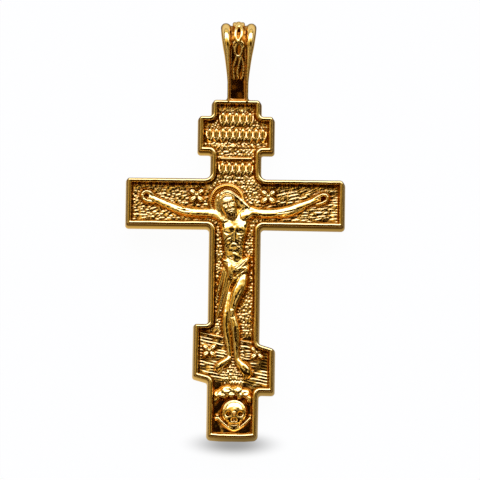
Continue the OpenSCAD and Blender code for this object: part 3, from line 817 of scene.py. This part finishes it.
def buildCasting(material):
    rings = rimRings()
    last = rings[-1][:, :2]
    bends = np.hypot(*(np.roll(last, -1, 0) - 2 * last + np.roll(last, 1, 0)).T) > 1e-6
    fence = last[bends]  # the field's edge without the points of its straight runs
    gx, gy, used, cell = fieldGrid(fence)
    gridCount, n = int(used.sum()), len(last)
    number = np.full(gx.shape, -1)
    number[used] = np.arange(gridCount)
    land = {"x": np.concatenate([gx[used], last[:, 0]]), "y": np.concatenate([gy[used], last[:, 1]])}
    shapeLand(land)
    print("land", gridCount, "points")
    points = np.vstack([np.column_stack([land["x"], land["y"], land["z"]])] + rings[:-1])
    starts = [gridCount + n * (k + 1) for k in range(len(rings) - 1)] + [gridCount]
    i, j = np.where(cell)
    quads = np.column_stack([number[i, j], number[i + 1, j], number[i + 1, j + 1], number[i, j + 1]]).tolist()
    faces = list(quads)
    for a, b in zip(starts[:-1], starts[1:]):
        faces += [[a + k, a + (k + 1) % n, b + (k + 1) % n, b + k] for k in range(n)]
    faces.append([starts[0] + k for k in range(n)][::-1])
    faces += seam(points, quads, [gridCount + k for k in range(n)], fence, cell)
    points, faces = welded(points, faces)
    addPiece("casting", points, faces, material, paintedHollowShade(points, faces))


def welded(points, faces):  # joins points in one place and drops faces with no area
    keys = np.round(points / 1e-4).astype(np.int64)
    _, first, same = np.unique(keys, axis=0, return_index=True, return_inverse=True)
    same = same.ravel()
    out = []
    for f in faces:
        g = [int(same[v]) for v in f]
        g = [v for v, following in zip(g, g[1:] + g[:1]) if v != following]
        if len(set(g)) >= 3:
            out.append(g)
    return points[first], out


def neighbours(points, faces):  # pairs of points that share an edge, and how many each point has
    pairs = {(min(a, b), max(a, b)) for f in faces if len(f) < 5 for a, b in zip(f, f[1:] + f[:1])}
    pairs = np.array(sorted(pairs))
    return pairs, np.maximum(np.bincount(pairs.ravel(), minlength=len(points)), 1)


def summed(values, pairs):  # for each point, the sum over its neighbours
    a, b = pairs.T
    return np.bincount(a, values[b], len(values)) + np.bincount(b, values[a], len(values))


# settings of the painted shade in hollows
hollow = {
    "cap": 0.5, "passes": 24, "share": 0.7, "from": 0.012, "reach": 0.085,
    "floor": 0.16, "floorShare": 0.55,
}


def paintedHollowShade(points, faces):  # painted shade where a point lies below its smoothed surroundings, and darker on the field's lowest points, 0 to 1
    h = hollow
    z = points[:, 2]
    pairs, count = neighbours(points, faces)
    level = np.minimum(z, cross["field"] + h["cap"])  # so that the tall rim doesn't darken the field
    for _ in range(h["passes"]):
        level = (1 - h["share"]) * level + h["share"] * summed(level, pairs) / count
    onFace = ramp(z, 1.5, 1.6)
    low = ramp(cross["field"] + h["floor"] - z, 0, 0.12) * onFace
    return np.clip((level - z - h["from"]) / h["reach"] + h["floorShare"] * low, 0, 1) * onFace


# Bail: a loop with two ribs, a sunk band and a plait on its front

bail = {
    "x": 0.12, "loopY": 49.61, "loopR": 2.35, "midZ": 1.5,
    "footY": 42.3, "footHalf": 1.08, "wall": 0.42,
    "widths": [[42.0, 2.6], [45.3, 2.64], [46.4, 2.84], [47.9, 3.22], [48.9, 3.52], [50.0, 3.95],
               [51.3, 4.34], [52.2, 4.5], [53.0, 4.5]],
    "ribs": [[42.0, 0.15], [45.3, 0.17], [46.4, 0.22], [47.9, 0.31], [48.9, 0.4], [50.0, 0.52],
             [51.4, 0.62], [53.0, 0.64]],
    "ribDepth": [[42.0, 0.46], [46.0, 0.5], [49.0, 0.56], [52.0, 0.6]],
    "band": [[42.0, -0.22], [46.0, -0.2], [49.0, -0.12], [51.0, 0.0], [51.8, 0.28], [53.0, 0.42]],
    "uneven": 0.05, "unevenSize": 0.75, "ribJoin": 0.12, "strandJoin": 0.05,
    "wedgeTop": 44.1, "wedgeSlope": 0.5, "wedgeInset": [0.16, 0.3], "wedgeJoin": 0.15,
    "skirt": [1.7, 42.62, 1.25], "skirtJoin": 0.45, "cut": 0.12,  # skirt: half width, top, half depth
    # where the painted shade lies on the sunk band
    "shadeFrom": 0.15, "shadeReach": 0.1, "shadeX": [-1.15, -0.75], "shadeInner": -0.35,
    "cell": 0.085, "gridX": [-2.6, 2.8], "gridY": [42.1, 53.4], "gridZ": [-1.9, 5.0],
}

plait = {
    "run": 22.22,  # whole length of the loop's middle line
    "rings": [  # from and to along the loop, half width, lift at both ends, radius
        [5.85, 7.5, 0.44, 0.08, 0.22, 0.14], [7.7, 9.5, 0.4, 0.34, 0.62, 0.19]],
    "strands": [  # rows of x, run from the front foot, lift over the middle line, radius
        [[-0.5, 10.5, 0.5, 0.2], [0.0, 10.55, 0.55, 0.25], [0.5, 10.5, 0.5, 0.2]],
        [[-0.46, 11.1, 0.52, 0.22], [0.0, 11.1, 0.55, 0.24], [0.46, 11.1, 0.52, 0.22]],
        [[-0.3, 9.7, 0.5, 0.2], [-0.52, 10.2, 0.5, 0.24], [-0.5, 11.1, 0.5, 0.24]],
        [[0.3, 9.7, 0.5, 0.2], [0.52, 10.2, 0.5, 0.24], [0.5, 11.1, 0.5, 0.24]],
        [[0.0, 9.8, 0.5, 0.22], [0.0, 10.4, 0.55, 0.27], [0.0, 11.11, 0.53, 0.27]],
        [[-0.2, 5.95, 0.1, 0.13], [-0.46, 5.0, 0.04, 0.14], [-0.58, 4.2, -0.04, 0.12],
         [-0.5, 3.1, -0.08, 0.13]],
        [[0.3, 5.9, 0.08, 0.12], [0.15, 5.2, 0.06, 0.13], [0.0, 4.4, 0.0, 0.13], [-0.1, 4.0, -0.04, 0.14],
         [0.0, 3.1, -0.08, 0.13]],
        [[0.2, 6.1, 0.12, 0.12], [0.48, 5.5, 0.08, 0.13], [0.66, 4.5, -0.02, 0.13], [0.56, 3.4, -0.08, 0.12],
         [0.36, 3.05, -0.1, 0.13]],
        [[-0.3, 7.55, 0.24, 0.14], [0.0, 7.65, 0.36, 0.2], [0.3, 7.55, 0.24, 0.14]],
        [[-0.35, 7.8, 0.26, 0.12], [-0.64, 7.3, 0.2, 0.12], [-0.66, 6.8, 0.1, 0.1]],
        [[0.35, 7.8, 0.26, 0.12], [0.62, 7.3, 0.2, 0.12], [0.64, 6.8, 0.1, 0.1]]],
}


def loopLine():  # the loop's middle line in height y and depth z, from the front foot over the top
    b = bail
    drop = b["loopY"] - b["footY"]
    a = math.atan2(b["footHalf"], drop) + math.acos(b["loopR"] / math.hypot(b["footHalf"], drop))
    rows = [[b["loopY"] - b["loopR"] * math.cos(t), b["midZ"] + b["loopR"] * math.sin(t)]
            for t in np.linspace(a, 2 * math.pi - a, 72)]
    front, back = [[b["footY"], b["midZ"] + side * b["footHalf"]] for side in (1, -1)]
    return np.array([front] + rows + [back])


def lineDistance(y, z, rows):  # how far outside the line each point lies, and the line's height there
    best = np.full(y.shape, 99.0)
    out, height = np.zeros(y.shape), np.zeros(y.shape)
    for a, b in zip(rows[:-1], rows[1:]):
        t, away = along(y, z, a, b)
        d = b - a
        outside = (z - a[1]) * d[0] > (y - a[0]) * d[1]
        closer = away < best
        best = np.where(closer, away, best)
        out = np.where(closer, np.where(outside, away, -away), out)
        height = np.where(closer, a[0] + t * d[0], height)
    return out, height


def strandRows(rows, line):  # rows of x, run, lift, radius become points in space
    lengths = np.concatenate([[0], np.cumsum(np.hypot(*np.diff(line, axis=0).T))])
    at = lambda run: np.array([np.interp(run, lengths, part) for part in line.T])
    out = []
    for x, run, lift, r in smoothRows(rows, 3):
        y, z = at(run)
        ty, tz = at(run + 0.05) - at(run)
        size = math.hypot(ty, tz) or 1
        out.append([x + bail["x"], y - tz / size * lift, z + ty / size * lift, r])
    return np.array(out)


def bailField(x, y, z):  # below 0 inside the metal
    b = bail
    line = loopLine()
    out, height = lineDistance(y[0], z[0], line)
    pick = lambda name: np.interp(height, *np.array(b[name]).T)
    half, rib, deep, band = pick("widths") / 2, pick("ribs"), pick("ribDepth"), pick("band")
    xs, zs = np.abs(x - b["x"]), np.abs(z - b["midZ"])
    ribs = (np.sqrt(((xs - (half - rib)) / rib) ** 2 + (out / deep) ** 2) - 1) * np.minimum(rib, deep)
    uneven = b["uneven"] * noise(x[:, :, 0], y[:, :, 0], b["unevenSize"], 51)[:, :, None]
    mid, thick = (band - b["wall"]) / 2, (band + b["wall"]) / 2
    slab = np.maximum(xs - (half - rib), np.abs(out - mid) - thick - uneven)
    solid = smoothMin(ribs, slab, b["ribJoin"])
    insetX, insetZ = b["wedgeInset"]
    frontLine = np.interp(y[0], [b["footY"], b["loopY"]], [b["footHalf"], b["loopR"]]) - insetZ
    slope = y - b["wedgeTop"] + b["wedgeSlope"] * zs
    wedge = np.maximum(np.maximum(xs - (half - insetX), slope), zs - frontLine)
    solid = smoothMin(solid, wedge, b["wedgeJoin"])
    for rows in bailPlait():
        tube(solid, x, y, z, strandRows(rows, line))
    halfX, top, halfZ = b["skirt"]
    skirt = np.maximum(np.maximum(xs - halfX, y - top), zs - halfZ)
    solid = smoothMin(solid, skirt, b["skirtJoin"])
    return np.maximum(solid, b["footY"] + b["cut"] - y)


def tube(solid, x, y, z, rows):  # joins a round strand to the solid
    axes = x[:, 0, 0], y[0, :, 0], z[0, 0, :]
    for a, b in zip(rows[:-1], rows[1:]):
        reach = max(a[3], b[3]) + 0.2
        lo, hi = np.minimum(a[:3], b[:3]) - reach, np.maximum(a[:3], b[:3]) + reach
        at = tuple(slice(np.searchsorted(v, lo[k]), np.searchsorted(v, hi[k])) for k, v in enumerate(axes))
        d = b[:3] - a[:3]
        px, py, pz = x[at] - a[0], y[at] - a[1], z[at] - a[2]
        t = np.clip((px * d[0] + py * d[1] + pz * d[2]) / max(d @ d, 1e-9), 0, 1)
        away = np.sqrt((px - t * d[0]) ** 2 + (py - t * d[1]) ** 2 + (pz - t * d[2]) ** 2)
        solid[at] = smoothMin(solid[at], away - (a[3] + (b[3] - a[3]) * t), bail["strandJoin"])


def bailPlait():  # all strands of the front, and the same on the back
    rows = []
    for low, high, half, first, last, r in plait["rings"]:
        row = []
        for a in 2 * math.pi * np.arange(17) / 16:
            share = 0.5 + 0.5 * math.sin(a)
            row.append([half * math.cos(a) + 0.07 * math.sin(a), low + (high - low) * share,
                        first + (last - first) * share, r])
        rows.append(row)
    rows += plait["strands"]
    return rows + [[[-x, plait["run"] - run, lift, r] for x, run, lift, r in row] for row in rows]


def surfaceNet(values, origin, step):  # a quad mesh where the values cross 0
    size = np.array(values.shape) - 1
    total, hits = np.zeros((*size, 3)), np.zeros(size)
    crossings = []
    for axis in range(3):
        u, v = (axis + 1) % 3, (axis + 2) % 3
        first = [slice(1, s) for s in size]
        second = list(first)
        first[axis], second[axis] = slice(0, size[axis]), slice(1, size[axis] + 1)
        where = np.argwhere((values[tuple(first)] < 0) != (values[tuple(second)] < 0))
        where[:, [u, v]] += 1
        ends = [values[tuple((where + k * np.eye(3, dtype=int)[axis]).T)] for k in (0, 1)]
        hit = where.astype(float)
        hit[:, axis] += ends[0] / (ends[0] - ends[1])
        cells = []
        for du, dv in ((1, 1), (0, 1), (0, 0), (1, 0)):
            at = where.copy()
            at[:, u] -= du
            at[:, v] -= dv
            cells.append(tuple(at.T))
            np.add.at(total, cells[-1], hit)
            np.add.at(hits, cells[-1], 1)
        crossings.append((cells, ends[0] >= 0))
    used = hits > 0
    number = np.full(size, -1)
    number[used] = np.arange(used.sum())
    faces = []
    for cells, flip in crossings:
        quad = np.column_stack([number[at] for at in cells])
        quad[flip] = quad[flip][:, ::-1]
        faces += quad.tolist()
    return total[used] / hits[used][:, None] * step + origin, faces


def sampled(points, values, origin, step):  # the values at the points, and their slope there
    def value(p):
        g = (p - origin) / step
        i = np.clip(np.floor(g).astype(int), 0, np.array(values.shape) - 2)
        t = g - i
        out = 0
        for corner in np.ndindex(2, 2, 2):
            share = np.where(corner, t, 1 - t).prod(1)
            out = out + share * values[tuple((i + corner).T)]
        return out
    half = 0.5 * step * np.eye(3)
    return value(points), np.column_stack([(value(points + h) - value(points - h)) / step for h in half])


def settled(points, values, origin, step):  # moves the points onto the surface
    for _ in range(3):
        value, slope = sampled(points, values, origin, step)
        size = np.maximum((slope ** 2).sum(1), 0.05)
        points = points - np.clip(value / size, -0.3 * step, 0.3 * step)[:, None] * slope
    return points


def evened(points, faces):  # takes out the net's own pattern and keeps the size
    pairs, count = neighbours(points, faces)
    for share in (0.5, -0.52) * 3:
        total = np.column_stack([summed(part, pairs) for part in points.T])
        points = points + share * (total / count[:, None] - points)
    return points


def bailPaintedShade(points):  # painted shade on the sunk band, the bail's deep part
    b = bail
    out, height = lineDistance(points[:, 1], points[:, 2], loopLine())
    above = out - np.interp(height, *np.array(b["band"]).T)
    middle = ramp(-np.abs(points[:, 0] - b["x"]), *b["shadeX"])
    return np.clip((b["shadeFrom"] - above) / b["shadeReach"], 0, 1) * middle * (out > b["shadeInner"])


def buildBail(material):
    step = bail["cell"]
    axes = [np.arange(*bail[name], step) for name in ("gridX", "gridY", "gridZ")]
    origin = np.array([axis[0] for axis in axes])
    values = bailField(*np.meshgrid(*axes, indexing="ij"))
    points, faces = surfaceNet(values, origin, step)
    points = evened(settled(points, values, origin, step), faces)
    addPiece("bail", points, faces, material, bailPaintedShade(points))


# Shader nodes

def addNode(tree, kind, inputs, **settings):  # inputs by name or number: constants or other nodes' outputs
    made = tree.nodes.new(kind)
    for name, value in settings.items():
        setattr(made, name, value)
    for name, value in inputs.items():
        if isinstance(value, bpy.types.NodeSocket):
            tree.links.new(value, made.inputs[name])
        else:
            made.inputs[name].default_value = value
    return made


def maths(tree, kind, *values):
    return addNode(tree, "ShaderNodeMath", dict(enumerate(values)), operation=kind).outputs[0]


def vectorMaths(tree, kind, *values):
    return addNode(tree, "ShaderNodeVectorMath", dict(enumerate(values)), operation=kind).outputs


def scaled(tree, colour, size):
    return addNode(tree, "ShaderNodeVectorMath", {0: colour, "Scale": size}, operation="SCALE").outputs[0]


def mapped(tree, value, low, high, first=0.0, last=1.0, kind="LINEAR"):  # low to high becomes first to last
    ends = {"Value": value, "From Min": low, "From Max": high, "To Min": first, "To Max": last}
    return addNode(tree, "ShaderNodeMapRange", ends, interpolation_type=kind).outputs["Result"]


def blended(tree, share, a, b):  # colour a at 0, colour b at 1
    a, b = [v + [1] if isinstance(v, list) else v for v in (a, b)]
    return addNode(tree, "ShaderNodeMix", {0: share, 6: a, 7: b}, data_type="RGBA").outputs[2]


# Gilding, darkened by painted shade in hollows and on the bail's sunk band

gilding = {
    # deep: the colour of the painted shade in hollows and on the bail's sunk band
    "gold": [0.96, 0.66, 0.2], "deep": [0.34, 0.11, 0.006], "edge": [1.0, 0.88, 0.62],
    "roughness": 0.1, "deepRoughness": 0.17,
    "wornScale": 900, "wornDetail": 4, "worn": [0.16, -0.08],
    "grainScale": 9000, "grainDetail": 2, "grainBump": 0.06, "grainDepth": 0.0001,
}


def goldMaterial():
    g = gilding
    mat = bpy.data.materials.new("gilt_metal")
    mat.use_nodes = True
    tree = mat.node_tree
    tree.nodes.clear()
    # the share of painted shade at each point, from the point attribute hollow
    deep = addNode(tree, "ShaderNodeAttribute", {}, attribute_name="hollow").outputs["Fac"]
    place = addNode(tree, "ShaderNodeTexCoord", {}).outputs["Object"]
    texture = lambda scale, detail: addNode(
        tree, "ShaderNodeTexNoise", {"Vector": place, "Scale": scale, "Detail": detail}).outputs["Fac"]
    worn = maths(tree, "MULTIPLY_ADD", texture(g["wornScale"], g["wornDetail"]), *g["worn"])
    bump = addNode(tree, "ShaderNodeBump", {
        "Strength": g["grainBump"], "Distance": g["grainDepth"],
        "Height": texture(g["grainScale"], g["grainDetail"])})
    shader = addNode(tree, "ShaderNodeBsdfPrincipled", {
        "Metallic": 1.0, "Specular Tint": g["edge"] + [1],
        "Base Color": blended(tree, deep, g["gold"], g["deep"]),
        "Roughness": maths(tree, "ADD", mapped(tree, deep, 0, 1, g["roughness"], g["deepRoughness"]), worn),
        "Normal": bump.outputs["Normal"]})
    addNode(tree, "ShaderNodeOutputMaterial", {"Surface": shader.outputs["BSDF"]})
    return mat


# Stage: pale floor with a painted shadow under the foot, studio sky with soft boxes, camera

stage = {
    "floorHalf": 3.0, "floorDrop": 0.00002,
    "floorColour": [0.03, 0.03, 0.03], "floorGlow": [0.97, 0.97, 0.97],
    "mirrored": [  # what the metal mirrors of the floor at a distance in centimetres
        [0.0, [0.64, 0.57, 0.42]], [0.2, [0.5, 0.43, 0.28]], [0.26, [0.42, 0.35, 0.2]],
        [0.32, [0.07, 0.035, 0.004]], [0.45, [0.05, 0.025, 0.004]], [0.75, [0.34, 0.24, 0.09]],
        [1.0, [0.05, 0.025, 0.004]]],
    "sides": [-0.003, 0.003, 1.2, 0.75],  # the floor mirrors brighter on the left than on the right
    "floorBeyond": [0.82, 0.8, 0.9],  # pale again all round
    "beyond": [0.057, 0.063], "beyondFrom": [0.0, -0.03, 0.0],
    # a painted shadow: the floor's glow darkened in a soft oval under the foot
    "shadeAt": [0.0002, -0.0266, 0.0], "shadeSize": [0.0042, 0.0012, 1.0], "shadeReach": 1.8,
    "shadeAmount": 0.62,
    "cameraTilt": 7.0, "cameraRoll": 0.8, "aim": [0.65, 25.2, 1.5], "distance": 0.8, "span": 60.0,
}


def floorMaterial():
    s = stage
    mat = bpy.data.materials.new("floor_paper")
    mat.use_nodes = True
    tree = mat.node_tree
    shader = tree.nodes["Principled BSDF"]
    shader.inputs["Base Color"].default_value = s["floorColour"] + [1]
    shader.inputs["Roughness"].default_value = 0.9
    shader.inputs["Specular IOR Level"].default_value = 0.0
    shader.inputs["Emission Strength"].default_value = 1.0
    place = addNode(tree, "ShaderNodeTexCoord", {}).outputs["Object"]
    light = addNode(tree, "ShaderNodeLightPath", {}).outputs
    bounce = addNode(tree, "ShaderNodeValToRGB", {"Fac": maths(tree, "MULTIPLY", light["Ray Length"], 100)})
    steps = bounce.color_ramp.elements
    for k, (at, colour) in enumerate(s["mirrored"]):
        step = steps[k] if k < 2 else steps.new(at)
        step.position = at
        step.color = colour + [1]
    across = addNode(tree, "ShaderNodeSeparateXYZ", {0: place}).outputs["X"]
    sided = scaled(tree, bounce.outputs["Color"], mapped(tree, across, *s["sides"]))
    spot = vectorMaths(tree, "DISTANCE", place, s["beyondFrom"])["Value"]
    mirrored = blended(tree, mapped(tree, spot, *s["beyond"]), sided, s["floorBeyond"])
    glow = blended(tree, light["Is Camera Ray"], mirrored, s["floorGlow"])
    # painted shadow under the foot darkens the glow
    offset = vectorMaths(tree, "SUBTRACT", place, s["shadeAt"])[0]
    reach = vectorMaths(tree, "LENGTH", vectorMaths(tree, "DIVIDE", offset, s["shadeSize"])[0])["Value"]
    paintedShadow = mapped(tree, reach, 0.0, s["shadeReach"], 1 - s["shadeAmount"], 1.0, "SMOOTHERSTEP")
    tree.links.new(scaled(tree, glow, paintedShadow), shader.inputs["Emission Color"])
    return mat


def addFloor():
    half = stage["floorHalf"]
    mesh = bpy.data.meshes.new("floor")
    corners = [(x * half, y * half, 0) for x, y in ((-1, -1), (1, -1), (1, 1), (-1, 1))]
    mesh.from_pydata(corners, [], [(0, 1, 2, 3)])
    mesh.materials.append(floorMaterial())
    floor = bpy.data.objects.new("floor", mesh)
    bpy.context.scene.collection.objects.link(floor)
    floor.location = (0, 0, -stage["floorDrop"])


sky = {
    "dark": [0.015, 0.006, 0.001],
    "boxes": [  # seen from below on a ceiling of height 1: middle x and y, half sizes, soft edge, colour
        [0.0, 2.6, 1.9, 2.1, 0.35, [0.74, 0.69, 0.42]],
        [0.0, 1.3, 1.4, 0.5, 0.3, [2.1, 2.75, 6.0]],
        [0.0, 14.0, 9.0, 9.5, 0.5, [0.7, 0.66, 0.62]],
        [0.0, 0.5, 0.6, 0.2, 0.12, [0.26, 0.17, 0.04]],
        [-0.38, 0.15, 0.16, 0.3, 0.08, [0.72, 0.54, 0.22]],
        [-1.0, 0.1, 0.3, 0.4, 0.12, [0.36, 0.24, 0.05]],
        [-0.6, -0.38, 0.22, 0.16, 0.08, [0.8, 0.74, 0.6]],
        [0.62, -0.38, 0.14, 0.16, 0.08, [0.95, 0.85, 0.7]],
        [-0.17, -0.3, 0.04, 0.12, 0.04, [1.3, 1.1, 0.8]],
        [-4.0, -0.1, 2.0, 0.9, 0.3, [0.44, 0.38, 0.28]],
        [1.25, 0.1, 0.12, 0.7, 0.15, [0.34, 0.25, 0.08]],
        [4.6, 0.0, 1.5, 0.9, 0.3, [0.16, 0.12, 0.06]],
        [0.2, -2.2, 0.7, 0.4, 0.2, [0.2, 0.09, 0.01]],
        [0.0, -9.0, 9.0, 5.0, 1.0, [0.22, 0.15, 0.06]],
        [10.0, 0.0, 5.0, 3.5, 1.0, [0.22, 0.16, 0.07]],
        [-10.5, 0.0, 3.5, 3.5, 1.0, [0.22, 0.16, 0.07]]],
    "lowest": 0.02, "seen": [1.0, 1.0, 1.0],
}


def addSky():
    world = bpy.data.worlds.new("studio")
    bpy.context.scene.world = world
    world.use_nodes = True
    tree = world.node_tree
    tree.nodes.clear()

    def strip(value, middle, half, soft):  # 1 within half of the middle, 0 beyond the soft edge
        away = maths(tree, "ABSOLUTE", maths(tree, "SUBTRACT", value, middle))
        return mapped(tree, away, half + soft, half, kind="SMOOTHSTEP")

    ray = addNode(tree, "ShaderNodeTexCoord", {}).outputs["Generated"]
    x, y, z = addNode(tree, "ShaderNodeSeparateXYZ", {0: ray}).outputs
    height = maths(tree, "MAXIMUM", z, sky["lowest"])
    u, v = maths(tree, "DIVIDE", x, height), maths(tree, "DIVIDE", y, height)
    total = sky["dark"]
    for mx, my, hx, hy, soft, colour in sky["boxes"]:
        box = maths(tree, "MULTIPLY", strip(u, mx, hx, soft), strip(v, my, hy, soft))
        total = vectorMaths(tree, "MULTIPLY_ADD", box, colour, total)[0]
    lit = addNode(tree, "ShaderNodeBackground", {"Color": total}).outputs[0]
    plain = addNode(tree, "ShaderNodeBackground", {"Color": sky["seen"] + [1]}).outputs[0]
    seen = addNode(tree, "ShaderNodeLightPath", {}).outputs["Is Camera Ray"]
    mix = addNode(tree, "ShaderNodeMixShader", {0: seen, 1: lit, 2: plain}).outputs[0]
    addNode(tree, "ShaderNodeOutputWorld", {"Surface": mix})


def addCamera():
    s = stage
    m = restMatrix()
    (tiltC, tiltS), (rollC, rollS) = heading(s["cameraTilt"]), heading(s["cameraRoll"])
    turn = m.to_3x3().normalized()
    back = turn @ Vector((0, -tiltS, tiltC))
    up = turn @ Vector((0, tiltC, tiltS))
    right = turn @ Vector((1, 0, 0))
    axes = right * rollC + up * rollS, up * rollC - right * rollS, back
    data = bpy.data.cameras.new("camera")
    data.sensor_width = 36
    data.lens = data.sensor_width * s["distance"] / (s["span"] * rest["metre"])
    data.clip_start, data.clip_end = 0.01, 50
    data.dof.use_dof = False
    camera = bpy.data.objects.new("camera", data)
    bpy.context.scene.collection.objects.link(camera)
    place = Matrix(axes).transposed().to_4x4()
    place.translation = m @ Vector(s["aim"]) + back * s["distance"]
    camera.matrix_world = place
    bpy.context.scene.camera = camera


gold = goldMaterial()
buildCasting(gold)
print("casting made")
buildBail(gold)
print("bail made")
addFloor()
addSky()
addCamera()
bpy.context.scene.view_settings.view_transform = "Standard"
print("stage made")
